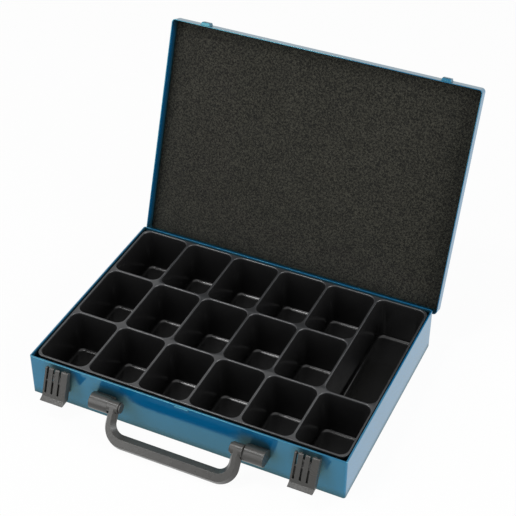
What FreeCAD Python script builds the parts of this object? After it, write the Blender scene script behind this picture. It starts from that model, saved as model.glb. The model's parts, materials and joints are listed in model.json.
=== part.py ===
import FreeCAD, Part
import math
import os

V = FreeCAD.Vector

# Sheet-steel assortment case, open: deep base, hinged lid with foam, lift-out
# insert of seventeen compartments, bail handle and two latches on the front.
# Origin: middle of the underside.  +X right, +Y to the rear, +Z up.

# ---- case body ----
BASE_W = 430.0
BASE_D = 300.0
BASE_H = 62.5
SHEET = 1.0
CORNER_R = 3.0
BEND = 1.8
HEM_H = 5.0
HEM_EDGE = 0.5

# ---- lid ----
LID_GAP = 1.8
LID_RISE = 3.5
LID_FLANGE = 17.0
LID_CORNER_R = 5.0
LID_ANGLE = 109.4
FLANGE_CLEAR = 0.8

# ---- foam in the lid ----
FOAM_INSET = 1.2
FOAM_GLUE = 0.3
FOAM_CLEAR = 0.3
FOAM_R = 3.0

# ---- insert ----
GRID_ROOM_X = 10.0
GRID_ROOM_Y = 9.0
COLUMNS = 6
ROWS = 3
RIB = 3.0
TRAY_T = 1.0
TRAY_SEAT = 0.3
TRAY_DROP = 1.9
TRAY_BORDER = 1.4
TRAY_CORNER_R = 10.0
POCKET_R = 11.0
POCKET_DRAFT = 5.0
FLOOR_CUT = 2.5

# ---- hinges ----
HINGE_FROM_END = 65.0
HINGE_W = 50.0
HINGE_DROP = 15.9
LEAF_T = 1.2
LEAF_DROP = 16.0
LEAF_RISE = 12.5
KNUCKLE_R = 2.6
HINGE_PIN_R = 1.3
KNUCKLE_END = 12.0
RUN_GAP = 0.3

# ---- latches ----
LATCH_FROM_END = 46.0
LATCH_W = 32.0
LATCH_OFF = 5.6
LATCH_DROP = 3.9
LATCH_ANGLE = 22.0
LATCH_PIN_R = 1.1
LATCH_TOP = 2.6
LATCH_LEN = 41.2
LATCH_T = 2.2
LATCH_SIDE = 2.0
LATCH_WALL_GAP = 1.0
LATCH_EAR = 2.4
LATCH_LIP = 5.2
LATCH_LIP_OUT = 4.7
SLOT_W = 2.8
SLOT_PITCH = 8.8
SLOT_SHIFT = 3.4
SLOT_LEN = 34.0
WEB_DROP = 16.0
WEB_H = 2.0
BACK_DROP = 18.0
BACK_GAP = 1.5
BACK_T = 1.1
NOSE_W = 10.0
NOSE_TOP = 4.1
NOSE_T = 2.4
NOSE_REACH = 2.4
FACE_CLEAR = 0.4
CHEEK_T = 2.6
CHEEK_R = 2.2
CHEEK_CLEAR = 0.8
BRACKET_T = 1.8
BRACKET_DROP = 16.0
BRACKET_H = 22.5

# ---- strike bosses on the lid ----
BOSS_W = 14.0
BOSS_OUT = 3.8
BOSS_TAPER = 1.3
BOSS_DROP = 12.5
BOSS_H = 11.5
WINDOW_W = 11.0
WINDOW_CLEAR = 0.5

# ---- handle ----
HANDLE_OFF = 16.5
HANDLE_DROP = 19.5
HANDLE_ANGLE = 31.7
HANDLE_REACH = 40.2
HANDLE_HALF = 91.0
LEG_W = 14.5
LEG_T = 15.8
GRIP_H = 19.0
GRIP_FACET = 4.5
BEND_OUT_R = 27.0
BEND_IN_R = 13.0
HANDLE_PIN_R = 3.0
PIN_HEAD_R = 6.4
PIN_HEAD_L = 2.0
PIN_BITE = 20.0

# ---- handle mounts ----
MOUNT_W = 26.5
MOUNT_R = 10.7
MOUNT_OFF = 13.0
MOUNT_DROP = 24.5
MOUNT_SLOPE = 40.0
MOUNT_SCREW_PITCH = 13.0

# ---- nuts behind the handle mounts ----
NUT_ACROSS = 7.0
NUT_H = 3.2

# ---- pressed nub under the front rim ----
NUB_W = 19.0
NUB_H = 3.2
NUB_OUT = 0.8
NUB_EDGE = 0.6

FRONT_Y = -BASE_D / 2
REAR_Y = BASE_D / 2
PITCH_X = (BASE_W - GRID_ROOM_X) / COLUMNS
PITCH_Y = (BASE_D - GRID_ROOM_Y) / ROWS
TRAY_TOP = BASE_H - TRAY_DROP
LID_TOP = BASE_H + LID_RISE
HINGE_X = BASE_W / 2 - HINGE_FROM_END
HINGE_Z = BASE_H - HINGE_DROP
LATCH_X = BASE_W / 2 - LATCH_FROM_END
LATCH_Z = BASE_H - LATCH_DROP
BRACKET_HIGH = BASE_H - BRACKET_DROP
BRACKET_LOW = BRACKET_HIGH - BRACKET_H
BOSS_LOW = BASE_H - BOSS_DROP
BOSS_HIGH = BOSS_LOW + BOSS_H
HANDLE_Z = BASE_H - HANDLE_DROP
MOUNT_Z = BASE_H - MOUNT_DROP
MOUNT_LOW = MOUNT_Z - MOUNT_R
LID_W = BASE_W + 2 * (LID_GAP + SHEET)
LID_D = BASE_D + 2 * (LID_GAP + SHEET)
LID_UNDER = LID_TOP - SHEET
LID_EDGE = LID_TOP - LID_FLANGE
HINGE_Y = LID_D / 2 + KNUCKLE_R
POCKET_FLOOR = SHEET + TRAY_SEAT + TRAY_T
ARC_CUT = 2 - math.sqrt(2)  # corner cut whose face just touches a fillet of radius one
LEFT = -1
RIGHT = 1
SIDES = ((LEFT, "left"), (RIGHT, "right"))
X_AXIS = V(1, 0, 0)
Y_AXIS = V(0, 1, 0)
Z_AXIS = V(0, 0, 1)
NEAR = SHEET / 1000


def rounded_rect(width, depth, radius, z):
    """Closed outline of a rectangle with arc corners, level at height z."""
    hx = width / 2
    hy = depth / 2
    k = radius * (1 - math.sqrt(0.5))
    edges = []
    corners = ((1, -1), (1, 1), (-1, 1), (-1, -1))
    ends = []
    for sx, sy in corners:
        on_y = V(sx * hx, sy * (hy - radius), z)
        mid = V(sx * (hx - k), sy * (hy - k), z)
        on_x = V(sx * (hx - radius), sy * hy, z)
        if sx * sy > 0:
            ends.append((on_y, mid, on_x))
        else:
            ends.append((on_x, mid, on_y))
    for i, (start, mid, stop) in enumerate(ends):
        edges.append(Part.Arc(start, mid, stop).toShape())
        following = ends[(i + 1) % len(ends)][0]
        edges.append(Part.LineSegment(stop, following).toShape())
    return Part.Wire(edges)


def rounded_slab(width, depth, radius, z0, z1):
    face = Part.Face(rounded_rect(width, depth, radius, z0))
    return face.extrude(V(0, 0, z1 - z0))


def centred_box(width, depth, z0, z1):
    return Part.makeBox(width, depth, z1 - z0, V(-width / 2, -depth / 2, z0))


def edges_at(shape, z):
    """Edges that lie wholly at height z."""
    found = []
    for edge in shape.Edges:
        box = edge.BoundBox
        if abs(box.ZMin - z) < NEAR and abs(box.ZMax - z) < NEAR:
            found.append(edge)
    return found


def side_prism(points, x0, x1):
    """Prism along X from points given as (distance out to the front, height)."""
    corners = [V(x0, FRONT_Y - out, z) for out, z in points]
    corners.append(corners[0])
    return Part.Face(Part.makePolygon(corners)).extrude(V(x1 - x0, 0, 0))


def x_rod(radius, x0, x1, y, z):
    return Part.makeCylinder(radius, x1 - x0, V(x0, y, z), X_AXIS)


def hex_nut(at, way, across, height):
    """Six-sided nut standing out along way, flats apart by across."""
    corner_r = across / math.sqrt(3)
    turns = [k * math.pi / 3 for k in range(6)]
    points = [V(corner_r * math.cos(turn), corner_r * math.sin(turn), 0) for turn in turns]
    nut = Part.Face(Part.makePolygon(points + points[:1])).extrude(V(0, 0, height))
    nut.Placement = FreeCAD.Placement(at, FreeCAD.Rotation(Z_AXIS, way))
    return nut


def to_open_lid(shape):
    """Swing a piece modelled on the shut lid to where the lid stands open."""
    shape.rotate(V(0, HINGE_Y, HINGE_Z), X_AXIS, -LID_ANGLE)
    return shape


def to_rest(shape, out, z, angle):
    """Swing a piece on the front wall outwards about its own X pivot."""
    shape.rotate(V(0, FRONT_Y - out, z), X_AXIS, -angle)
    return shape


def mount_web():
    """Side outline of the web from the wall to the barrel; its top leaves the barrel as a tangent."""
    slope = math.radians(MOUNT_SLOPE)
    touch_out = MOUNT_OFF - MOUNT_R * math.sin(slope)
    touch_z = MOUNT_Z + MOUNT_R * math.cos(slope)
    wall_z = touch_z - touch_out * math.tan(slope)
    return ((0, MOUNT_LOW), (MOUNT_OFF, MOUNT_LOW), (MOUNT_OFF, MOUNT_Z), (touch_out, touch_z), (0, wall_z))


def mount_screw_points(side):
    mid_x = side * (HANDLE_HALF + RUN_GAP + MOUNT_W / 2)
    mid_z = (MOUNT_LOW + mount_web()[-1][1]) / 2
    return [V(mid_x + k * MOUNT_SCREW_PITCH / 2, FRONT_Y, mid_z) for k in (-1, 1)]


def base_shell():
    """Folded pan with a hemmed rim and a pressed nub under the front rim."""
    outer = rounded_slab(BASE_W, BASE_D, CORNER_R, 0, BASE_H)
    outer = outer.makeChamfer(BEND, edges_at(outer, 0))
    outer = outer.makeChamfer(HEM_EDGE, edges_at(outer, BASE_H))
    wall = 2 * SHEET
    low_top = BASE_H - HEM_H
    room = centred_box(BASE_W - wall, BASE_D - wall, SHEET, low_top)
    neck = centred_box(BASE_W - 2 * wall, BASE_D - 2 * wall, low_top, BASE_H)
    nub = Part.makeBox(NUB_W, SHEET + NUB_OUT, NUB_H)
    nub.translate(V(-NUB_W / 2, FRONT_Y - NUB_OUT, BASE_H - HEM_H))
    nub = nub.makeChamfer(NUB_EDGE, front_edges(nub))
    return outer.cut(room).cut(neck).fuse(nub).removeSplitter()


def front_edges(shape):
    """Edges lying in the foremost face of a small block."""
    y = shape.BoundBox.YMin
    return [e for e in shape.Edges if abs(e.BoundBox.YMax - y) < NEAR]


def tapered_block(width, low, high, y0, y1, taper):
    """Block on the front flange that narrows by taper on every side towards y1."""
    def outline(inset, y):
        hx = width / 2 - inset
        corners = ((-hx, low + inset), (hx, low + inset), (hx, high - inset), (-hx, high - inset))
        points = [V(x, y, z) for x, z in corners]
        return Part.makePolygon(points + points[:1])
    return Part.makeLoft([outline(0, y0), outline(taper, y1)], True, True)


def lid_shell():
    """Shallow lid with strike bosses pressed out of its front flange."""
    outer = rounded_slab(LID_W, LID_D, LID_CORNER_R, LID_EDGE, LID_TOP)
    outer = outer.makeChamfer(BEND, edges_at(outer, LID_TOP))
    wall = 2 * SHEET
    room = rounded_slab(LID_W - wall, LID_D - wall, LID_CORNER_R - SHEET, LID_EDGE, LID_UNDER)
    flange_y = -LID_D / 2
    face_y = flange_y - BOSS_OUT
    window_low = LATCH_Z - NOSE_TOP - NOSE_T - WINDOW_CLEAR
    window_h = NOSE_T + 2 * WINDOW_CLEAR
    for side, _ in SIDES:
        boss = tapered_block(BOSS_W, BOSS_LOW, BOSS_HIGH, flange_y + SHEET, face_y, BOSS_TAPER)
        hollow = tapered_block(BOSS_W - wall, BOSS_LOW + SHEET, BOSS_HIGH - SHEET,
                               flange_y + SHEET, face_y + SHEET, BOSS_TAPER)
        window = Part.makeBox(WINDOW_W, BOSS_OUT, window_h)
        window.translate(V(-WINDOW_W / 2, face_y - SHEET, window_low))
        for shape in (boss, hollow, window):
            shape.translate(V(side * LATCH_X, 0, 0))
        outer = outer.fuse(boss)
        room = room.fuse(hollow).fuse(window)
    return to_open_lid(outer.cut(room).removeSplitter())


def lid_foam():
    """Foam sheet stuck inside the lid, just clear of the rim when the lid is shut."""
    width = LID_W - 2 * SHEET - 2 * FOAM_INSET
    depth = LID_D - 2 * SHEET - 2 * FOAM_INSET
    foam = rounded_slab(width, depth, FOAM_R, BASE_H + FOAM_CLEAR, LID_UNDER - FOAM_GLUE)
    return to_open_lid(foam)


def pocket_list():
    """Compartments as (centre x, centre y, width, depth) on the rib grid."""
    pockets = []
    x_left = -PITCH_X * COLUMNS / 2
    y_front = -PITCH_Y * ROWS / 2
    for row in range(ROWS):
        for column in range(COLUMNS):
            last = column == COLUMNS - 1
            if last and row > 0:
                continue
            cx = x_left + PITCH_X * (column + 0.5)
            cy = y_front + PITCH_Y * (row + 0.5)
            pockets.append((cx, cy, PITCH_X - RIB, PITCH_Y - RIB))
    long_x = x_left + PITCH_X * (COLUMNS - 0.5)
    long_y = y_front + PITCH_Y * (1 + (ROWS - 1) / 2)
    pockets.append((long_x, long_y, PITCH_X - RIB, PITCH_Y * (ROWS - 1) - RIB))
    return pockets


def ring(cx, cy, hx, hy, cut, z):
    """Level rectangle of half sizes hx, hy with its corners cut off."""
    corners = ((hx, hy - cut), (hx - cut, hy), (cut - hx, hy), (-hx, hy - cut),
               (-hx, cut - hy), (cut - hx, -hy), (hx - cut, -hy), (hx, cut - hy))
    if cut == 0:
        corners = corners[::2]
    return [V(cx + x, cy + y, z) for x, y in corners]


def frustum(low, high):
    """Flat-sided solid between two level outlines of the same corner count."""
    faces = [Part.Face(Part.makePolygon(outline + outline[:1])) for outline in (low[::-1], high)]
    for i in range(len(low)):
        k = (i + 1) % len(low)
        side = [low[i], low[k], high[k], high[i], low[i]]
        faces.append(Part.Face(Part.makePolygon(side)))
    return Part.Solid(Part.Shell(faces))


def draft_at(z):
    """How far a compartment wall stands in from its top edge at height z."""
    return POCKET_DRAFT * (TRAY_TOP - z) / (TRAY_TOP - POCKET_FLOOR)


def pocket_cavity(cx, cy, width, depth):
    """Inside of a compartment: drafted walls, round corners and bevelled floor edges."""
    rings = []
    for z in (POCKET_FLOOR, TRAY_TOP + TRAY_T):
        inset = draft_at(z)
        rings.append(ring(cx, cy, width / 2 - inset, depth / 2 - inset, 0, z))
    plain = frustum(*rings)
    upright = [e for e in plain.Edges if e.BoundBox.ZLength > POCKET_R]
    room = plain.makeFillet(POCKET_R, upright)
    return room.common(plain.makeChamfer(FLOOR_CUT, edges_at(plain, POCKET_FLOOR))).removeSplitter()


def cut_behind(inner_cut):
    """Corner cut on the outside that keeps the wall's thickness behind a cut on the inside."""
    return inner_cut + ARC_CUT * TRAY_T


def pocket_cup(cx, cy, width, depth):
    """Outside of a compartment below the deck, with a bevelled foot."""
    foot_z = POCKET_FLOOR - TRAY_T
    foot_cut = cut_behind(FLOOR_CUT)
    corner_cut = cut_behind(ARC_CUT * POCKET_R)
    levels = ((foot_z, foot_cut), (foot_z + foot_cut, 0), (TRAY_TOP - TRAY_T / 2, 0))
    rings = []
    for z, bevel in levels:
        inset = draft_at(z) - TRAY_T + bevel
        rings.append(ring(cx, cy, width / 2 - inset, depth / 2 - inset, corner_cut, z))
    return frustum(rings[0], rings[1]).fuse(frustum(rings[1], rings[2]))


def insert_tray():
    """Thin moulded insert: deck, rolled border and seventeen drafted cups."""
    deck_w = PITCH_X * COLUMNS + 2 * TRAY_BORDER
    deck_d = PITCH_Y * ROWS + 2 * TRAY_BORDER
    body = rounded_slab(deck_w, deck_d, TRAY_CORNER_R, TRAY_TOP - TRAY_T, TRAY_TOP)
    pockets = pocket_list()
    cups = [pocket_cup(*pocket) for pocket in pockets]
    body = body.multiFuse(cups)
    rooms = [pocket_cavity(*pocket) for pocket in pockets]
    return body.cut(rooms).removeSplitter()


def cheek_span(k):
    """X range, from the latch's middle, of the bracket cheek on side k of the strike boss."""
    inner = k * (BOSS_W / 2 + CHEEK_CLEAR)
    outer = inner + k * CHEEK_T
    return min(inner, outer), max(inner, outer)


def latch_bracket(side):
    """Two-cheek bracket riveted low on the wall; the strike boss comes down between its cheeks."""
    cx = side * LATCH_X
    half = cheek_span(RIGHT)[1]
    plate_points = ((0, BRACKET_LOW), (BRACKET_T, BRACKET_LOW), (BRACKET_T, BRACKET_HIGH), (0, BRACKET_HIGH))
    bracket = side_prism(plate_points, cx - half, cx + half)
    neck = LID_GAP + SHEET + RUN_GAP * 2
    foot = BRACKET_LOW + BRACKET_T
    eye_half = CHEEK_R * math.tan(math.pi / 8)
    arm_points = ((0, foot), (BRACKET_T, foot), (LATCH_OFF + CHEEK_R, LATCH_Z - eye_half),
                  (LATCH_OFF + CHEEK_R, LATCH_Z + eye_half), (LATCH_OFF + eye_half, LATCH_Z + CHEEK_R),
                  (LATCH_OFF - eye_half, LATCH_Z + CHEEK_R), (LATCH_OFF - CHEEK_R, LATCH_Z + eye_half),
                  (LATCH_OFF - CHEEK_R, LATCH_Z - eye_half), (neck, BRACKET_HIGH), (0, BRACKET_HIGH))
    for k in (LEFT, RIGHT):
        x0, x1 = cheek_span(k)
        bracket = bracket.fuse(side_prism(arm_points, cx + x0, cx + x1))
    bore = x_rod(LATCH_PIN_R, cx - half, cx + half, FRONT_Y - LATCH_OFF, LATCH_Z)
    return bracket.cut(bore).removeSplitter()


def latch_lever(side):
    """Channel-section lever: slotted face over a back plate, finger lip, inward nose, pivot ears."""
    cx = side * LATCH_X
    half = LATCH_W / 2
    face_in = LATCH_OFF + CHEEK_R + FACE_CLEAR
    face_out = face_in + LATCH_T
    face_mid = face_in + LATCH_T / 2
    top = LATCH_Z + LATCH_TOP
    low = LATCH_Z - LATCH_LEN
    lip_z = low + LATCH_LIP
    face_points = ((face_in, top), (face_in, lip_z), (face_in + LATCH_LIP_OUT, low),
                   (face_out + LATCH_LIP_OUT, low), (face_out, lip_z), (face_out, top - LATCH_T / 2),
                   (face_mid, top))
    lever = side_prism(face_points, cx - half, cx + half)
    for k in (-1, 0, 1):
        slot_x = cx - SLOT_SHIFT + k * SLOT_PITCH - SLOT_W / 2
        slot = Part.makeBox(SLOT_W, 2 * LATCH_T, SLOT_LEN)
        slot.translate(V(slot_x, FRONT_Y - face_mid - LATCH_T, top - SLOT_LEN))
        lever = lever.cut(slot)
    web_z = top - WEB_DROP
    web_points = ((face_in, web_z - WEB_H), (face_mid, web_z - WEB_H), (face_mid, web_z), (face_in, web_z))
    lever = lever.fuse(side_prism(web_points, cx - half, cx + half))
    back_out = face_in - BACK_GAP
    back_in = back_out - BACK_T
    back_low = top - SLOT_LEN - BACK_T
    back_high = top - BACK_DROP
    back_points = ((back_in, back_low), (back_out, back_low), (back_out, back_high), (back_in, back_high))
    lever = lever.fuse(side_prism(back_points, cx - half, cx + half))
    ear_back = LATCH_OFF - LATCH_EAR
    shoulder = LID_EDGE - FLANGE_CLEAR
    side_points = ((ear_back, LATCH_Z), (LATCH_OFF, top), (face_in, top), (face_mid, LATCH_Z),
                   (face_mid, lip_z), (face_in + LATCH_LIP_OUT, low), (LATCH_WALL_GAP, lip_z),
                   (LATCH_WALL_GAP, shoulder - ear_back), (ear_back, shoulder))
    for k in (LEFT, RIGHT):
        x_out = cx + k * half
        x_in = cx + k * (half - LATCH_SIDE)
        lever = lever.fuse(side_prism(side_points, min(x_out, x_in), max(x_out, x_in)))
    nose_high = LATCH_Z - NOSE_TOP
    nose_low = nose_high - NOSE_T
    tip = LATCH_OFF - NOSE_REACH
    nose_points = ((tip, nose_low + NOSE_T / 2), (tip + NOSE_T / 2, nose_low), (face_mid, nose_low),
                   (face_mid, nose_high), (tip, nose_high))
    lever = lever.fuse(side_prism(nose_points, cx - NOSE_W / 2, cx + NOSE_W / 2))
    bore = x_rod(LATCH_PIN_R + RUN_GAP, cx - half, cx + half, FRONT_Y - LATCH_OFF, LATCH_Z)
    lever = lever.cut(bore).removeSplitter()
    return to_rest(lever, LATCH_OFF, LATCH_Z, LATCH_ANGLE)


def latch_pins(side):
    """Two stub pins, one through each cheek and ear, clear of the boss between them."""
    cx = side * LATCH_X
    near, _ = cheek_span(RIGHT)
    stubs = []
    for x0, x1 in ((-LATCH_W / 2, -near), (near, LATCH_W / 2)):
        stubs.append(x_rod(LATCH_PIN_R, cx + x0, cx + x1, FRONT_Y - LATCH_OFF, LATCH_Z))
    return Part.makeCompound(stubs)


def handle_mount(side):
    """Barrel-fronted moulding that carries one end of the handle pin."""
    x_in = HANDLE_HALF + RUN_GAP
    x0 = min(side * x_in, side * (x_in + MOUNT_W))
    x1 = x0 + MOUNT_W
    block = side_prism(mount_web(), x0, x1).fuse(x_rod(MOUNT_R, x0, x1, FRONT_Y - MOUNT_OFF, MOUNT_Z))
    block = block.cut(x_rod(HANDLE_PIN_R, *pin_span(side), FRONT_Y - HANDLE_OFF, HANDLE_Z))
    return block.removeSplitter()


def handle_mount_nuts():
    nuts = []
    for side, _ in SIDES:
        for at in mount_screw_points(side):
            nuts.append(hex_nut(at + Y_AXIS * SHEET, Y_AXIS, NUT_ACROSS, NUT_H))
    return Part.makeCompound(nuts)


def pin_span(side):
    """X range of a handle pin, from the inner face of the leg into the mount."""
    leg_in = HANDLE_HALF - LEG_W - RUN_GAP
    deep = HANDLE_HALF + RUN_GAP + PIN_BITE
    return min(side * leg_in, side * deep), max(side * leg_in, side * deep)


def handle_pin(side):
    """Pin through a handle eye into its mount, button head on the inner side."""
    y = FRONT_Y - HANDLE_OFF
    shank = x_rod(HANDLE_PIN_R, *pin_span(side), y, HANDLE_Z)
    head_at = V(side * (HANDLE_HALF - LEG_W - RUN_GAP), y, HANDLE_Z)
    head = Part.makeCylinder(PIN_HEAD_R, PIN_HEAD_L, head_at, X_AXIS * -side)
    return shank.fuse(head).removeSplitter()


def handle_outline(half, low, radius, y):
    """Closed U at depth y: straight legs and a bar with round bends."""
    k = radius * (1 - math.sqrt(0.5))
    z_top = HANDLE_Z + LEG_T
    z_low = HANDLE_Z - low
    left_top = V(-half, y, z_top)
    right_top = V(half, y, z_top)
    left_a = V(-half, y, z_low + radius)
    left_m = V(-half + k, y, z_low + k)
    left_b = V(-half + radius, y, z_low)
    right_a = V(half - radius, y, z_low)
    right_m = V(half - k, y, z_low + k)
    right_b = V(half, y, z_low + radius)
    parts = [Part.LineSegment(left_top, left_a).toShape(), Part.Arc(left_a, left_m, left_b).toShape(),
             Part.LineSegment(left_b, right_a).toShape(), Part.Arc(right_a, right_m, right_b).toShape(),
             Part.LineSegment(right_b, right_top).toShape(), Part.LineSegment(right_top, left_top).toShape()]
    return Part.Wire(parts)


def handle_form(half, low, radius, flare):
    """U-shaped solid whose outline grows by flare from its middle plane to both faces."""
    y_mid = FRONT_Y - HANDLE_OFF
    outlines = []
    for y, grow in ((y_mid - LEG_T / 2, flare), (y_mid, 0), (y_mid + LEG_T / 2, flare)):
        outlines.append(handle_outline(half + grow, low + grow, radius + grow, y))
    return Part.makeLoft(outlines, True, True)


def carry_handle():
    """Bail handle of six-sided section: two legs with round eyes and a grip bar between them."""
    eye_r = LEG_T / 2
    y_mid = FRONT_Y - HANDLE_OFF
    low = HANDLE_REACH + GRIP_H / 2
    outer = handle_form(HANDLE_HALF, low, BEND_OUT_R, -GRIP_FACET)
    inner = handle_form(HANDLE_HALF - LEG_W, HANDLE_REACH - GRIP_H / 2, BEND_IN_R, GRIP_FACET)
    below = Part.makeBox(2 * HANDLE_HALF, LEG_T, low)
    below.translate(V(-HANDLE_HALF, y_mid - eye_r, HANDLE_Z - low))
    bail = outer.cut(inner).common(below)
    for side, _ in SIDES:
        x0 = min(side * HANDLE_HALF, side * (HANDLE_HALF - LEG_W))
        bail = bail.fuse(x_rod(eye_r, x0, x0 + LEG_W, y_mid, HANDLE_Z))
    bail = bail.cut(x_rod(HANDLE_PIN_R + RUN_GAP, -HANDLE_HALF, HANDLE_HALF, y_mid, HANDLE_Z))
    return to_rest(bail.removeSplitter(), HANDLE_OFF, HANDLE_Z, HANDLE_ANGLE)


def knuckle_spans(side):
    """X ranges of the outer (base) knuckles and the middle (lid) knuckle."""
    x0 = side * HINGE_X - HINGE_W / 2
    x1 = side * HINGE_X + HINGE_W / 2
    outer = ((x0, x0 + KNUCKLE_END), (x1 - KNUCKLE_END, x1))
    middle = (x0 + KNUCKLE_END + RUN_GAP, x1 - KNUCKLE_END - RUN_GAP)
    return outer, middle


def rear_prism(points, x0, x1):
    """Prism along X from points given as plain (y, z)."""
    corners = [V(x0, y, z) for y, z in points]
    corners.append(corners[0])
    return Part.Face(Part.makePolygon(corners)).extrude(V(x1 - x0, 0, 0))


def hinge_base_leaf(side):
    """Leaf on the rear wall, cranked out to the outer knuckles that hold the pin."""
    outer, _ = knuckle_spans(side)
    x0 = outer[0][0]
    x1 = outer[1][1]
    bend = HINGE_Z - KNUCKLE_R * 2
    foot = bend - LEAF_DROP
    lean = KNUCKLE_R * math.sqrt(0.5)
    plate = ((REAR_Y, foot), (REAR_Y + LEAF_T, foot), (REAR_Y + LEAF_T, bend), (REAR_Y, bend))
    leaf = rear_prism(plate, x0, x1)
    crank = ((REAR_Y, bend - LEAF_T), (REAR_Y + LEAF_T, bend - LEAF_T), (HINGE_Y + lean, HINGE_Z - lean),
             (HINGE_Y - lean, HINGE_Z - lean), (REAR_Y, bend + LEAF_T))
    for a, b in outer:
        leaf = leaf.fuse(rear_prism(crank, a, b)).fuse(x_rod(KNUCKLE_R, a, b, HINGE_Y, HINGE_Z))
    pin = x_rod(HINGE_PIN_R, outer[0][1], outer[1][0], HINGE_Y, HINGE_Z)
    return leaf.fuse(pin).removeSplitter()


def hinge_lid_leaf(side):
    """Leaf riveted to the rear flange of the lid, ending in the middle knuckle."""
    _, middle = knuckle_spans(side)
    y0 = LID_D / 2
    y1 = y0 + LEAF_T
    z1 = LID_EDGE + LEAF_RISE
    low = HINGE_Z + KNUCKLE_R + RUN_GAP * 2
    plate = ((y0, low), (y1, low), (y1, z1), (y0, z1))
    x_mid = side * HINGE_X
    leaf = rear_prism(plate, x_mid - HINGE_W / 2, x_mid + HINGE_W / 2)
    neck = ((y0, HINGE_Z), (y1, HINGE_Z), (y1, low), (y0, low))
    leaf = leaf.fuse(rear_prism(neck, *middle)).fuse(x_rod(KNUCKLE_R, *middle, HINGE_Y, HINGE_Z))
    leaf = leaf.cut(x_rod(HINGE_PIN_R + RUN_GAP, *middle, HINGE_Y, HINGE_Z))
    return to_open_lid(leaf.removeSplitter())


def all_nodes():
    nodes = {
        "base_shell": base_shell(),
        "lid_shell": lid_shell(),
        "lid_foam": lid_foam(),
        "insert_tray": insert_tray(),
        "carry_handle": carry_handle(),
        "handle_mount_nuts": handle_mount_nuts(),
    }
    paired = {
        "handle_mount": handle_mount,
        "latch_bracket": latch_bracket,
        "handle_pin": handle_pin,
        "latch_lever": latch_lever,
        "latch_pin": latch_pins,
        "hinge_base_leaf": hinge_base_leaf,
        "hinge_lid_leaf": hinge_lid_leaf,
    }
    for stem, make in paired.items():
        for side, word in SIDES:
            nodes[stem + "_" + word] = make(side)
    return nodes


os.makedirs("parts", exist_ok=True)
for name, shape in all_nodes().items():
    shape.exportStep("parts/" + name + ".step")
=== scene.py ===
import bmesh
import bpy
import json
import math
from mathutils import Matrix, Quaternion, Vector


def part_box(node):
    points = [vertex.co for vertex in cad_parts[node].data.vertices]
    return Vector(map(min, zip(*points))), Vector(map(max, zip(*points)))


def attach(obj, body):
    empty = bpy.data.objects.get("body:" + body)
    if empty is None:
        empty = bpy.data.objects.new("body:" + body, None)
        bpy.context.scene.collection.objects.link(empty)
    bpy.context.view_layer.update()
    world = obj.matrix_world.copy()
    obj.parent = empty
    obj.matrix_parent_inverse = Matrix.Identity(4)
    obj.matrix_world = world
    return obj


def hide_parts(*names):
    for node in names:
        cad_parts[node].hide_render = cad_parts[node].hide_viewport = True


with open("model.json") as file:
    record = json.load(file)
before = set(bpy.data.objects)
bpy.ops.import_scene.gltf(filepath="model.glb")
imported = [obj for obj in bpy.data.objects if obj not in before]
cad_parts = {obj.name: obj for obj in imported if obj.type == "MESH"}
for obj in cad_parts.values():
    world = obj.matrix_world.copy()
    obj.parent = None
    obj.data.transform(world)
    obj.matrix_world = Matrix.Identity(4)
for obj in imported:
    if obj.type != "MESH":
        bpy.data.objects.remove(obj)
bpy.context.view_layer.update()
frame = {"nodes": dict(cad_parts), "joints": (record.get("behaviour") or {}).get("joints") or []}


# ---------------------------------------------------------------- case body
# The case body is a pan folded from 1 mm sheet steel, its rim turned down in
# a hem and a small nub pressed out under the front rim.  It is sprayed with
# blue enamel and baked, which leaves a glossy coat with a slight ripple.

def new_finish(name):
    """An empty material, its node tree and its Principled shader."""
    finish = bpy.data.materials.new(name)
    finish.use_nodes = True
    return finish, finish.node_tree, finish.node_tree.nodes["Principled BSDF"]


def put(tree, kind, **settings):
    """A node of the given kind with its settings and its input values."""
    node = tree.nodes.new(kind)
    inputs = settings.pop("inputs", {})
    for key, value in settings.items():
        setattr(node, key, value)
    for key, value in inputs.items():
        node.inputs[key].default_value = value
    return node


def shared_effect(name, inputs, outputs):
    """An empty shader node group with named float inputs and outputs."""
    tree = bpy.data.node_groups.new(name, "ShaderNodeTree")
    for label, value in inputs.items():
        socket = tree.interface.new_socket(label, in_out="INPUT", socket_type="NodeSocketFloat")
        socket.default_value = value
    for label in outputs:
        tree.interface.new_socket(label, in_out="OUTPUT", socket_type="NodeSocketFloat")
    return tree, tree.nodes.new("NodeGroupInput"), tree.nodes.new("NodeGroupOutput")


def place_effect(tree, group, **inputs):
    """Places a shared effect in a material with that material's own values."""
    node = tree.nodes.new("ShaderNodeGroup")
    node.node_tree = group
    for label, value in inputs.items():
        node.inputs[label].default_value = value
    return node


def ripple_effect():
    """Fine uneven surface: a broad ripple and a close grain, as a height."""
    sockets = {"Ripple_size": 200.0, "Grain_size": 1500.0, "Grain_share": 0.3}
    tree, given, out = shared_effect("surface_ripple", sockets, ["Height"])
    place = put(tree, "ShaderNodeTexCoord")
    ripple = put(tree, "ShaderNodeTexNoise", inputs={"Detail": 1.0})
    grain = put(tree, "ShaderNodeTexNoise", inputs={"Detail": 3.0})
    mix = put(tree, "ShaderNodeMix")
    for noise, label in ((ripple, "Ripple_size"), (grain, "Grain_size")):
        tree.links.new(place.outputs["Object"], noise.inputs["Vector"])
        tree.links.new(given.outputs[label], noise.inputs["Scale"])
    tree.links.new(given.outputs["Grain_share"], mix.inputs["Factor"])
    tree.links.new(ripple.outputs["Fac"], mix.inputs["A"])
    tree.links.new(grain.outputs["Fac"], mix.inputs["B"])
    tree.links.new(mix.outputs["Result"], out.inputs["Height"])
    return tree


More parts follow.
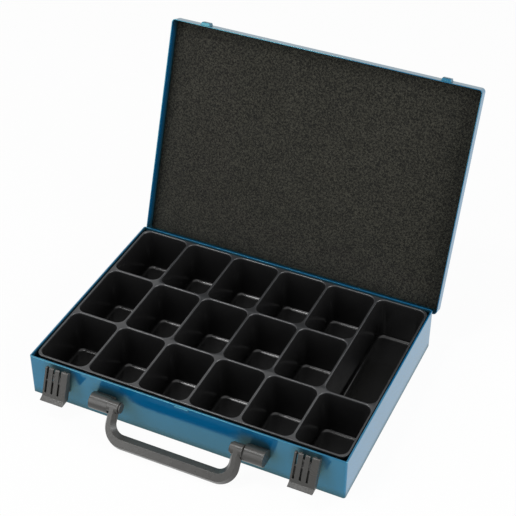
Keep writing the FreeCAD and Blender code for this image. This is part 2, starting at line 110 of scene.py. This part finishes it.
def handling_effect():
    """Smears and light dust from handling, as a value between two limits."""
    sockets = {"Size": 18.0, "Low": 0.2, "High": 0.3}
    tree, given, out = shared_effect("handling_marks", sockets, ["Value"])
    place = put(tree, "ShaderNodeTexCoord")
    smear = put(tree, "ShaderNodeTexNoise",
                inputs={"Detail": 6.0, "Roughness": 0.62, "Distortion": 0.8})
    limits = put(tree, "ShaderNodeMapRange", inputs={"From Min": 0.32, "From Max": 0.68})
    tree.links.new(place.outputs["Object"], smear.inputs["Vector"])
    tree.links.new(given.outputs["Size"], smear.inputs["Scale"])
    tree.links.new(smear.outputs["Fac"], limits.inputs["Value"])
    tree.links.new(given.outputs["Low"], limits.inputs["To Min"])
    tree.links.new(given.outputs["High"], limits.inputs["To Max"])
    tree.links.new(limits.outputs["Result"], out.inputs["Value"])
    return tree


def edge_effect():
    """How near a point lies to an outer or inner edge, broken up by noise."""
    sockets = {"Radius": 0.001, "Strength": 1.0}
    tree, given, out = shared_effect("edge_rub_and_highlight", sockets, ["Mask"])
    rounded = put(tree, "ShaderNodeBevel", samples=4)
    flat = put(tree, "ShaderNodeNewGeometry")
    match = put(tree, "ShaderNodeVectorMath", operation="DOT_PRODUCT")
    bent = put(tree, "ShaderNodeMapRange", inputs={"From Min": 0.995, "From Max": 0.86})
    place = put(tree, "ShaderNodeTexCoord")
    patchy = put(tree, "ShaderNodeTexNoise", inputs={"Scale": 90.0, "Detail": 4.0})
    spread = put(tree, "ShaderNodeMapRange",
                 inputs={"From Min": 0.35, "From Max": 0.6, "To Min": 0.35})
    partly = put(tree, "ShaderNodeMath", operation="MULTIPLY")
    scaled = put(tree, "ShaderNodeMath", operation="MULTIPLY", use_clamp=True)
    tree.links.new(given.outputs["Radius"], rounded.inputs["Radius"])
    tree.links.new(rounded.outputs["Normal"], match.inputs[0])
    tree.links.new(flat.outputs["Normal"], match.inputs[1])
    tree.links.new(match.outputs["Value"], bent.inputs["Value"])
    tree.links.new(place.outputs["Object"], patchy.inputs["Vector"])
    tree.links.new(patchy.outputs["Fac"], spread.inputs["Value"])
    tree.links.new(bent.outputs["Result"], partly.inputs[0])
    tree.links.new(spread.outputs["Result"], partly.inputs[1])
    tree.links.new(partly.outputs["Value"], scaled.inputs[0])
    tree.links.new(given.outputs["Strength"], scaled.inputs[1])
    tree.links.new(scaled.outputs["Value"], out.inputs["Mask"])
    return tree


surface_ripple = ripple_effect()
handling_marks = handling_effect()
edge_rub_and_highlight = edge_effect()


def tinted(tree, shader, base, shade, light, tint_size, edge_radius, edge_strength):
    """Base colour that drifts to a darker shade and lightens along the edges."""
    drift = place_effect(tree, handling_marks, Size=tint_size, Low=0.0, High=1.0)
    rub = place_effect(tree, edge_rub_and_highlight, Radius=edge_radius, Strength=edge_strength)
    body = put(tree, "ShaderNodeMix", data_type="RGBA")
    edge = put(tree, "ShaderNodeMix", data_type="RGBA")
    body.inputs["A"].default_value = (*base, 1)
    body.inputs["B"].default_value = (*shade, 1)
    edge.inputs["B"].default_value = (*light, 1)
    tree.links.new(drift.outputs["Value"], body.inputs["Factor"])
    tree.links.new(body.outputs["Result"], edge.inputs["A"])
    tree.links.new(rub.outputs["Mask"], edge.inputs["Factor"])
    tree.links.new(edge.outputs["Result"], shader.inputs["Base Color"])


def roughened(tree, shader, size, low, high):
    """Roughness that handling has smeared between a low and a high value."""
    marks = place_effect(tree, handling_marks, Size=size, Low=low, High=high)
    tree.links.new(marks.outputs["Value"], shader.inputs["Roughness"])


def relieved(tree, shader, ripple_size, grain_size, grain_share, depth, edge_radius):
    """Fine relief over softly rounded edges, for the shader's normal."""
    relief = place_effect(tree, surface_ripple, Ripple_size=ripple_size,
                          Grain_size=grain_size, Grain_share=grain_share)
    edge = put(tree, "ShaderNodeBevel", samples=6, inputs={"Radius": edge_radius})
    bump = put(tree, "ShaderNodeBump", inputs={"Distance": depth})
    tree.links.new(relief.outputs["Height"], bump.inputs["Height"])
    tree.links.new(edge.outputs["Normal"], bump.inputs["Normal"])
    tree.links.new(bump.outputs["Normal"], shader.inputs["Normal"])


def blue_enamel():
    """Gloss enamel, rougher in folds and corners, where painted shade darkens its colour."""
    finish, tree, shader = new_finish("blue_enamel")
    fold_reach = 0.02
    fold_shade_colour = (0.0005, 0.012, 0.030, 1)
    fold_roughness = 0.55
    tinted(tree, shader, base=(0.001, 0.092, 0.225), shade=(0.001, 0.082, 0.200),
           light=(0.02, 0.15, 0.28), tint_size=6.0, edge_radius=0.0006, edge_strength=0.18)
    coat = shader.inputs["Base Color"].links[0].from_socket
    # Painted shade: ambient occlusion darkens the base colour in folds and corners.
    nook = put(tree, "ShaderNodeAmbientOcclusion", samples=8, inputs={"Distance": fold_reach})
    depth = put(tree, "ShaderNodeMapRange", inputs={"From Min": 0.88, "From Max": 0.52})
    painted_fold_shade = put(tree, "ShaderNodeMix", data_type="RGBA")
    painted_fold_shade.inputs["B"].default_value = fold_shade_colour
    tree.links.new(nook.outputs["AO"], depth.inputs["Value"])
    tree.links.new(depth.outputs["Result"], painted_fold_shade.inputs["Factor"])
    tree.links.new(coat, painted_fold_shade.inputs["A"])
    tree.links.new(painted_fold_shade.outputs["Result"], shader.inputs["Base Color"])
    roughened(tree, shader, size=14.0, low=0.06, high=0.12)
    smear = shader.inputs["Roughness"].links[0].from_socket
    dulled = put(tree, "ShaderNodeMix", inputs={"B": fold_roughness})
    tree.links.new(depth.outputs["Result"], dulled.inputs["Factor"])
    tree.links.new(smear, dulled.inputs["A"])
    tree.links.new(dulled.outputs["Result"], shader.inputs["Roughness"])
    relieved(tree, shader, ripple_size=260.0, grain_size=1400.0, grain_share=0.2,
             depth=0.00002, edge_radius=0.0006)
    shader.inputs["IOR"].default_value = 1.52
    shader.inputs["Specular IOR Level"].default_value = 1.0
    shader.inputs["Specular Tint"].default_value = (0.42, 1.0, 0.86, 1)
    return finish


enamel = blue_enamel()


def dress(node, finish):
    """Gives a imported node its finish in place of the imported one."""
    piece = frame["nodes"][node]
    piece.data.materials.clear()
    piece.data.materials.append(finish)


dress("base_shell", enamel)


# ------------------------------------------------------------------ lid shell
# The lid is a shallow tray folded from the same sheet, with two hollow strike
# bosses pressed out of its front flange for the latches to hook under.

dress("lid_shell", enamel)


# ------------------------------------------------------------------- lid foam
# The foam is a die-cut sheet of dark open-cell foam, glued inside the lid.
# It presses on the insert when the case is shut and keeps small parts in place.

def foam_finish():
    """Dark grey-brown foam: open cells, lighter clumps of them, broad blotches."""
    finish, tree, shader = new_finish("open_cell_foam")
    place = put(tree, "ShaderNodeTexCoord")
    cells = put(tree, "ShaderNodeTexVoronoi", inputs={"Scale": 620.0})
    clumps = put(tree, "ShaderNodeTexNoise",
                 inputs={"Scale": 420.0, "Detail": 3.0, "Roughness": 0.75})
    broad = put(tree, "ShaderNodeTexNoise", inputs={"Scale": 22.0, "Detail": 3.0})
    tone = put(tree, "ShaderNodeValToRGB")
    ramp = tone.color_ramp
    ramp.elements[0].position = 0.42
    ramp.elements[0].color = (0.004, 0.004, 0.003, 1)
    ramp.elements[1].position = 0.62
    ramp.elements[1].color = (0.038, 0.037, 0.028, 1)
    blotch = put(tree, "ShaderNodeMix", data_type="RGBA", blend_type="MULTIPLY",
                 inputs={"Factor": 0.4})
    blotch_tone = put(tree, "ShaderNodeMapRange",
                      inputs={"From Min": 0.3, "From Max": 0.7, "To Min": 0.75, "To Max": 1.15})
    height = put(tree, "ShaderNodeMath", operation="ADD")
    bump = put(tree, "ShaderNodeBump", inputs={"Distance": 0.0007, "Strength": 0.8})
    for texture in (cells, clumps, broad):
        tree.links.new(place.outputs["Object"], texture.inputs["Vector"])
    tree.links.new(clumps.outputs["Fac"], tone.inputs["Fac"])
    tree.links.new(tone.outputs["Color"], blotch.inputs["A"])
    tree.links.new(broad.outputs["Fac"], blotch_tone.inputs["Value"])
    tree.links.new(blotch_tone.outputs["Result"], blotch.inputs["B"])
    tree.links.new(blotch.outputs["Result"], shader.inputs["Base Color"])
    tree.links.new(cells.outputs["Distance"], height.inputs[0])
    tree.links.new(clumps.outputs["Fac"], height.inputs[1])
    tree.links.new(height.outputs["Value"], bump.inputs["Height"])
    tree.links.new(bump.outputs["Normal"], shader.inputs["Normal"])
    roughened(tree, shader, size=40.0, low=0.85, high=0.97)
    shader.inputs["Specular IOR Level"].default_value = 0.12
    shader.inputs["Sheen Weight"].default_value = 0.08
    shader.inputs["Sheen Roughness"].default_value = 0.6
    return finish


def link_mesh(name, bm, finish, smooth_angle=math.radians(35)):
    """Turns a bmesh into a finished object with smooth faces and sharp edges."""
    mesh = bpy.data.meshes.new(name)
    bm.to_mesh(mesh)
    bm.free()
    mesh.shade_smooth()
    mesh.set_sharp_from_angle(angle=smooth_angle)
    mesh.materials.append(finish)
    piece = bpy.data.objects.new(name, mesh)
    bpy.context.scene.collection.objects.link(piece)
    return piece


def rounded_loop(mid_x, mid_y, half_x, half_y, radius, steps):
    """Points round a rectangle with arc corners, anticlockwise from the right."""
    points = []
    for sx, sy, start in ((1, 1, 0), (-1, 1, 90), (-1, -1, 180), (1, -1, 270)):
        arc_x = mid_x + sx * (half_x - radius)
        arc_y = mid_y + sy * (half_y - radius)
        for k in range(steps + 1):
            turn = math.radians(start + 90 * k / steps)
            points.append((arc_x + radius * math.cos(turn), arc_y + radius * math.sin(turn)))
    return points


def bridge(bm, upper, lower):
    """Quads between two rings of the same number of points."""
    count = len(upper)
    for i in range(count):
        k = (i + 1) % count
        bm.faces.new((upper[i], lower[i], lower[k], upper[k]))


def foam_sheet():
    """Foam slab with soft edges, drawn as it lies shut and swung up with the lid."""
    hinge = next(j for j in frame["joints"] if j["name"] == "lid_hinge")
    turn = math.radians(hinge["range_deg"][0])
    pivot = Vector(hinge["pos_m"])
    swing = Matrix.Rotation(-turn, 4, Vector(hinge["axis"]))
    open_up = Matrix.Translation(pivot) @ swing @ Matrix.Translation(-pivot)
    half_x = 0.2156
    half_y = 0.1506
    low = 0.0628
    high = 0.0647
    corner = 0.003
    edge = 0.0007
    heel = edge * 0.3
    steps = 6
    profile = ((edge, high), (0, high - edge), (0, low + edge), (heel, low + heel), (edge, low))
    bm = bmesh.new()
    rings = []
    for inset, z in profile:
        loop = rounded_loop(0, 0, half_x - inset, half_y - inset, corner - inset, steps)
        rings.append([bm.verts.new((x, y, z)) for x, y in loop])
    for upper, lower in zip(rings, rings[1:]):
        bridge(bm, upper, lower)
    bm.faces.new(rings[0])
    bm.faces.new(rings[-1][::-1])
    bm.transform(open_up)
    return bm


foam = link_mesh("foam_sheet", foam_sheet(), foam_finish())
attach(foam, "lid")
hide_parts("lid_foam")


# ---------------------------------------------------------------- insert tray
# The insert is vacuum formed from 1 mm black sheet: seventeen drafted cups
# with round corners and scooped floors, hung from one deck with a rolled lip
# round every cup and a turned-down skirt.  It lifts out of the case.

def insert_finish():
    """Black sheet with its deck painted lighter than the cups below and a painted highlight on
    its lips.
    """
    finish, tree, shader = new_finish("formed_black_sheet")
    below_deck = 0.0575
    deck_top = 0.0603
    lit_deck_colour = (0.033, 0.034, 0.036, 1)
    bead_highlight_colour = (0.190, 0.194, 0.200, 1)
    # The lighter edge colour here is a painted highlight along the rolled lips.
    tinted(tree, shader, base=(0.011, 0.011, 0.0112), shade=(0.009, 0.009, 0.0092),
           light=(0.080, 0.082, 0.085), tint_size=16.0, edge_radius=0.0012, edge_strength=0.5)
    cups = shader.inputs["Base Color"].links[0].from_socket
    # Painted light: the deck above the cups is coloured lighter than the cups, broken up by
    # noise.
    place = put(tree, "ShaderNodeTexCoord")
    split = put(tree, "ShaderNodeSeparateXYZ")
    level = put(tree, "ShaderNodeMapRange", inputs={"From Min": below_deck, "From Max": deck_top})
    deck_light_noise = place_effect(tree, handling_marks, Size=60.0, Low=0.7, High=1.0)
    share = put(tree, "ShaderNodeMath", operation="MULTIPLY")
    deck = put(tree, "ShaderNodeMix", data_type="RGBA")
    deck.inputs["B"].default_value = lit_deck_colour
    tree.links.new(place.outputs["Object"], split.inputs["Vector"])
    tree.links.new(split.outputs["Z"], level.inputs["Value"])
    tree.links.new(level.outputs["Result"], share.inputs[0])
    tree.links.new(deck_light_noise.outputs["Value"], share.inputs[1])
    tree.links.new(share.outputs["Value"], deck.inputs["Factor"])
    # Painted highlight: a light grey along the rolled lips round every cup.
    bead_highlight_mask = place_effect(tree, edge_rub_and_highlight, Radius=0.0014, Strength=0.9)
    painted_bead_highlight = put(tree, "ShaderNodeMix", data_type="RGBA")
    painted_bead_highlight.inputs["B"].default_value = bead_highlight_colour
    tree.links.new(cups, deck.inputs["A"])
    tree.links.new(deck.outputs["Result"], painted_bead_highlight.inputs["A"])
    tree.links.new(bead_highlight_mask.outputs["Mask"], painted_bead_highlight.inputs["Factor"])
    tree.links.new(painted_bead_highlight.outputs["Result"], shader.inputs["Base Color"])
    roughened(tree, shader, size=30.0, low=0.14, high=0.21)
    relieved(tree, shader, ripple_size=60.0, grain_size=2400.0, grain_share=0.55,
             depth=0.00002, edge_radius=0.0004)
    shader.inputs["IOR"].default_value = 1.52
    return finish


def insert_sheet():
    """Seventeen cups and a border hung from one deck, as a sheet with no thickness yet."""
    low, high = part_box("insert_tray")
    top = high.z
    columns = 6
    pitch = 0.070
    rib = 0.003
    front_row = (-0.1388, -0.0492)
    middle_row = (-0.0462, 0.0478)
    rear_row = (0.0508, 0.1446)
    front_edge = -0.1416
    sheet = 0.001
    lip = 0.0011
    corner = 0.011
    scoop = 0.005
    draft = 0.005
    floor = low.z + sheet
    skirt = 0.005
    border_corner = 0.010
    corner_steps = 9
    lip_steps = 4
    scoop_steps = 8
    wall_shares = (0.33, 0.66, 1.0)
    same_point = 1e-7
    cups = []
    for near, far in (front_row, middle_row, rear_row):
        for column in range(columns):
            if column == columns - 1 and near != front_row[0]:
                continue
            cups.append(((column + 0.5 - columns / 2) * pitch, (near + far) / 2,
                         (pitch - rib) / 2, (far - near) / 2))
    near, far = middle_row[0], rear_row[1]
    cups.append(((columns / 2 - 0.5) * pitch, (near + far) / 2,
                 (pitch - rib) / 2, (far - near) / 2))

    bm = bmesh.new()
    deck_edges = []

    def close_ring(ring):
        count = len(ring)
        return [bm.edges.new((ring[i], ring[(i + 1) % count])) for i in range(count)]

    def lean(z):
        return draft * (top - z) / (top - floor)

    for mid_x, mid_y, half_x, half_y in cups:
        levels = []
        for k in range(lip_steps + 1):
            turn = math.radians(90 * k / lip_steps)
            out = lip * (1 - math.sin(turn))
            levels.append((-out, top - lip + lip * math.cos(turn), corner + out))
        for share in wall_shares:
            z = top - lip - share * (top - lip - floor - scoop)
            levels.append((lean(z), z, corner))
        wall_foot = levels[-1][0]
        for k in range(1, scoop_steps + 1):
            turn = math.radians(90 * k / scoop_steps)
            inward = scoop * (1 - math.cos(turn))
            z = floor + scoop * (1 - math.sin(turn))
            levels.append((wall_foot + inward, z, corner - inward))
        rings = []
        for inset, z, radius in levels:
            loop = rounded_loop(mid_x, mid_y, half_x - inset, half_y - inset, radius,
                                corner_steps)
            rings.append([bm.verts.new((x, y, z)) for x, y in loop])
        deck_edges += close_ring(rings[0])
        for upper, lower in zip(rings, rings[1:]):
            bridge(bm, upper, lower)
        bm.faces.new(rings[-1])

    rim_rings = []
    mid_y = (front_edge + high.y) / 2
    half_y = (high.y - front_edge) / 2
    for k in range(lip_steps + 1):
        turn = math.radians(90 * k / lip_steps)
        inward = lip * (1 - math.sin(turn))
        loop = rounded_loop(0, mid_y, high.x - inward, half_y - inward, border_corner - inward,
                            corner_steps)
        z = top - lip + lip * math.cos(turn)
        rim_rings.append([bm.verts.new((x, y, z)) for x, y in loop])
    loop = rounded_loop(0, mid_y, high.x, half_y, border_corner, corner_steps)
    rim_rings.append([bm.verts.new((x, y, top - skirt)) for x, y in loop])
    deck_edges += close_ring(rim_rings[0])
    for upper, lower in zip(rim_rings, rim_rings[1:]):
        bridge(bm, lower, upper)
    bmesh.ops.triangle_fill(bm, use_beauty=True, use_dissolve=False, edges=deck_edges)
    bmesh.ops.remove_doubles(bm, verts=bm.verts, dist=same_point)
    bmesh.ops.recalc_face_normals(bm, faces=bm.faces)
    return bm, sheet


insert_mesh, insert_gauge = insert_sheet()
insert = link_mesh("insert_sheet", insert_mesh, insert_finish(), smooth_angle=math.radians(50))
thicken = insert.modifiers.new("sheet_thickness", "SOLIDIFY")
thicken.thickness = insert_gauge
thicken.offset = -1
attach(insert, "insert")
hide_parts("insert_tray")


# --------------------------------------------------------------- carry handle
# The handle is one grey glass-filled moulding: a faceted bar between two legs
# with eyes, which swing on headed pins held in the two barrel mounts.

def grey_moulding():
    """Dark grey moulding with a fine matt grain and slightly rubbed edges."""
    finish, tree, shader = new_finish("grey_moulding")
    tinted(tree, shader, base=(0.037, 0.036, 0.033), shade=(0.028, 0.027, 0.025),
           light=(0.12, 0.115, 0.11), tint_size=20.0, edge_radius=0.0009, edge_strength=0.3)
    roughened(tree, shader, size=35.0, low=0.25, high=0.34)
    relieved(tree, shader, ripple_size=420.0, grain_size=2600.0, grain_share=0.6,
             depth=0.00008, edge_radius=0.0008)
    shader.inputs["IOR"].default_value = 1.49
    return finish


grey = grey_moulding()
dress("carry_handle", grey)
for side in ("left", "right"):
    dress("handle_mount_" + side, grey)
    dress("handle_pin_" + side, grey)


# -------------------------------------------------------------------- latches
# Each latch is a grey moulded lever with four ribs and an open lower lip for
# the thumb.  It turns on a pin between the two cheeks of a bracket of the same
# moulding, fixed to the front wall.

for side in ("left", "right"):
    for stem in ("latch_lever_", "latch_bracket_", "latch_pin_"):
        dress(stem + side, grey)


# ------------------------------------------------------------ plated hardware
# The hinge leaves are zinc-plated steel, rolled round their pins and held to
# the sheet by domed rivets.  Plated hexagon nuts hold the handle mounts.

def zinc_plate():
    """Bright zinc, mottled and scuffed from handling."""
    finish, tree, shader = new_finish("zinc_plate")
    tinted(tree, shader, base=(0.60, 0.60, 0.60), shade=(0.50, 0.50, 0.51),
           light=(0.72, 0.72, 0.72), tint_size=60.0, edge_radius=0.0005, edge_strength=0.4)
    roughened(tree, shader, size=120.0, low=0.26, high=0.42)
    relieved(tree, shader, ripple_size=500.0, grain_size=4000.0, grain_share=0.5,
             depth=0.00003, edge_radius=0.0003)
    shader.inputs["Metallic"].default_value = 1.0
    return finish


zinc = zinc_plate()
for side in ("left", "right"):
    for stem in ("hinge_base_leaf_", "hinge_lid_leaf_"):
        dress(stem + side, zinc)
dress("handle_mount_nuts", zinc)


def rivet_head(name, seat, way, radius, height, body):
    """Domed rivet head whose flat side sits at seat and which faces way."""
    bm = bmesh.new()
    sides = 24
    dome_steps = 6
    rim_share = 0.25
    profile = [(radius, 0.0), (radius, height * rim_share)]
    for k in range(1, dome_steps):
        turn = math.radians(90 * k / dome_steps)
        rise = height * (rim_share + (1 - rim_share) * math.sin(turn))
        profile.append((radius * math.cos(turn), rise))
    rings = []
    for reach, rise in profile:
        ring = []
        for i in range(sides):
            turn = math.tau * i / sides
            ring.append(bm.verts.new((reach * math.cos(turn), reach * math.sin(turn), rise)))
        rings.append(ring)
    for lower, upper in zip(rings, rings[1:]):
        bridge(bm, upper, lower)
    crown = bm.verts.new((0, 0, height))
    for i in range(sides):
        bm.faces.new((rings[-1][i], rings[-1][(i + 1) % sides], crown))
    bm.faces.new(rings[0][::-1])
    facing = Vector((0, 0, 1)).rotation_difference(Vector(way)).to_matrix().to_4x4()
    bm.transform(Matrix.Translation(Vector(seat)) @ facing)
    piece = link_mesh(name, bm, zinc)
    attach(piece, body)


def hinge_rivets():
    """Three rivets through each hinge leaf, on its outer face."""
    hinge = next(j for j in frame["joints"] if j["name"] == "lid_hinge")
    pivot = Vector(hinge["pos_m"])
    swing = Matrix.Rotation(math.radians(-hinge["range_deg"][0]), 4, Vector(hinge["axis"]))
    out = Vector((0, 1, 0))
    pitch = 0.017
    radius = 0.0026
    height = 0.0014
    base_face = 0.1512
    base_rise = 0.007
    lid_face = 0.1540
    lid_level = 0.0565
    for side in ("left", "right"):
        low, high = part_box("hinge_base_leaf_" + side)
        mid_x = (low.x + high.x) / 2
        for k in (-1, 0, 1):
            x = mid_x + k * pitch
            seat = (x, base_face, low.z + base_rise)
            rivet_head(f"rivet_base_hinge_{side}_{k + 2}", seat, out, radius, height, "base")
            shut = Vector((x, lid_face, lid_level))
            opened = pivot + swing @ (shut - pivot)
            rivet_head(f"rivet_lid_hinge_{side}_{k + 2}", opened, swing @ out, radius, height,
                       "lid")


hinge_rivets()


# --------------------------------------------------------- floor, light, view
# The case stands on a plain pale floor in soft studio light: white all round,
# one small soft lamp overhead and two large ones in front and beside.

def studio_floor():
    """Matt pale floor.  The lens and the gloss of the case see it nearly white."""
    reach = 6.0
    white_share = 0.95
    mesh = bpy.data.meshes.new("studio_floor")
    corners = [(-reach, -reach, 0), (reach, -reach, 0), (reach, reach, 0), (-reach, reach, 0)]
    mesh.from_pydata(corners, [], [(0, 1, 2, 3)])
    piece = bpy.data.objects.new("studio_floor", mesh)
    bpy.context.scene.collection.objects.link(piece)
    finish, tree, shader = new_finish("pale_floor")
    shader.inputs["Base Color"].default_value = (0.80, 0.80, 0.80, 1)
    shader.inputs["Roughness"].default_value = 0.9
    shader.inputs["Specular IOR Level"].default_value = 0.0
    white = put(tree, "ShaderNodeEmission")
    rays = put(tree, "ShaderNodeLightPath")
    seen = put(tree, "ShaderNodeMath", operation="MAXIMUM")
    also = put(tree, "ShaderNodeMath", operation="MAXIMUM")
    share = put(tree, "ShaderNodeMath", operation="MULTIPLY")
    share.inputs[1].default_value = white_share
    mix = put(tree, "ShaderNodeMixShader")
    out = tree.nodes["Material Output"]
    tree.links.new(rays.outputs["Is Camera Ray"], seen.inputs[0])
    tree.links.new(rays.outputs["Is Glossy Ray"], seen.inputs[1])
    tree.links.new(seen.outputs["Value"], also.inputs[0])
    tree.links.new(rays.outputs["Is Transmission Ray"], also.inputs[1])
    tree.links.new(also.outputs["Value"], share.inputs[0])
    tree.links.new(share.outputs["Value"], mix.inputs["Fac"])
    tree.links.new(shader.outputs["BSDF"], mix.inputs[1])
    tree.links.new(white.outputs["Emission"], mix.inputs[2])
    tree.links.new(mix.outputs["Shader"], out.inputs["Surface"])
    mesh.materials.append(finish)


studio_floor()


def studio_surround():
    """White all round for the lens and for gloss, and a low even fill for the rest."""
    fill = 0.34
    world = bpy.data.worlds.new("white_studio")
    bpy.context.scene.world = world
    world.use_nodes = True
    tree = world.node_tree
    ground = tree.nodes["Background"]
    ground.inputs["Color"].default_value = (1, 1, 1, 1)
    rays = put(tree, "ShaderNodeLightPath")
    seen = put(tree, "ShaderNodeMath", operation="MAXIMUM")
    also = put(tree, "ShaderNodeMath", operation="MAXIMUM")
    level = put(tree, "ShaderNodeMapRange", inputs={"To Min": fill})
    tree.links.new(rays.outputs["Is Camera Ray"], seen.inputs[0])
    tree.links.new(rays.outputs["Is Glossy Ray"], seen.inputs[1])
    tree.links.new(seen.outputs["Value"], also.inputs[0])
    tree.links.new(rays.outputs["Is Transmission Ray"], also.inputs[1])
    tree.links.new(also.outputs["Value"], level.inputs["Value"])
    tree.links.new(level.outputs["Result"], ground.inputs["Strength"])


studio_surround()


def soft_lamp(name, towards, far, across, power):
    """Square lamp that stands off in one direction and faces the case."""
    lamp = bpy.data.lights.new(name, "AREA")
    lamp.shape = "SQUARE"
    lamp.size = across
    lamp.energy = power
    piece = bpy.data.objects.new(name, lamp)
    bpy.context.scene.collection.objects.link(piece)
    way = Vector(towards).normalized()
    piece.location = way * far
    piece.rotation_euler = way.to_track_quat("Z", "Y").to_euler()


soft_lamp("overhead_softbox", (-0.33, -0.17, 0.93), far=2.2, across=0.42, power=11.0)
soft_lamp("front_softbox", (-0.62, -0.66, 0.42), far=2.4, across=2.0, power=38.0)
soft_lamp("side_softbox", (0.93, -0.10, 0.36), far=2.4, across=1.7, power=51.0)


def studio_camera():
    """Long lens from the front right, looking down at the open case."""
    turn = math.radians(24.7725)
    rise = math.radians(38.197)
    roll = math.radians(0.3196)
    aim = Vector((-0.07205, 0.22432, 0.0))
    distance = 1.94104
    level = math.cos(rise)
    back = Vector((math.sin(turn) * level, -math.cos(turn) * level, math.sin(rise)))
    lens = bpy.data.cameras.new("studio_camera")
    lens.lens = 93.526
    lens.sensor_width = 36.0
    lens.clip_end = 20.0
    piece = bpy.data.objects.new("studio_camera", lens)
    bpy.context.scene.collection.objects.link(piece)
    piece.location = aim + back * distance
    piece.rotation_mode = "QUATERNION"
    piece.rotation_quaternion = back.to_track_quat("Z", "Y") @ Quaternion((0, 0, 1), roll)
    bpy.context.scene.camera = piece


studio_camera()
bpy.context.scene.view_settings.view_transform = "Standard"
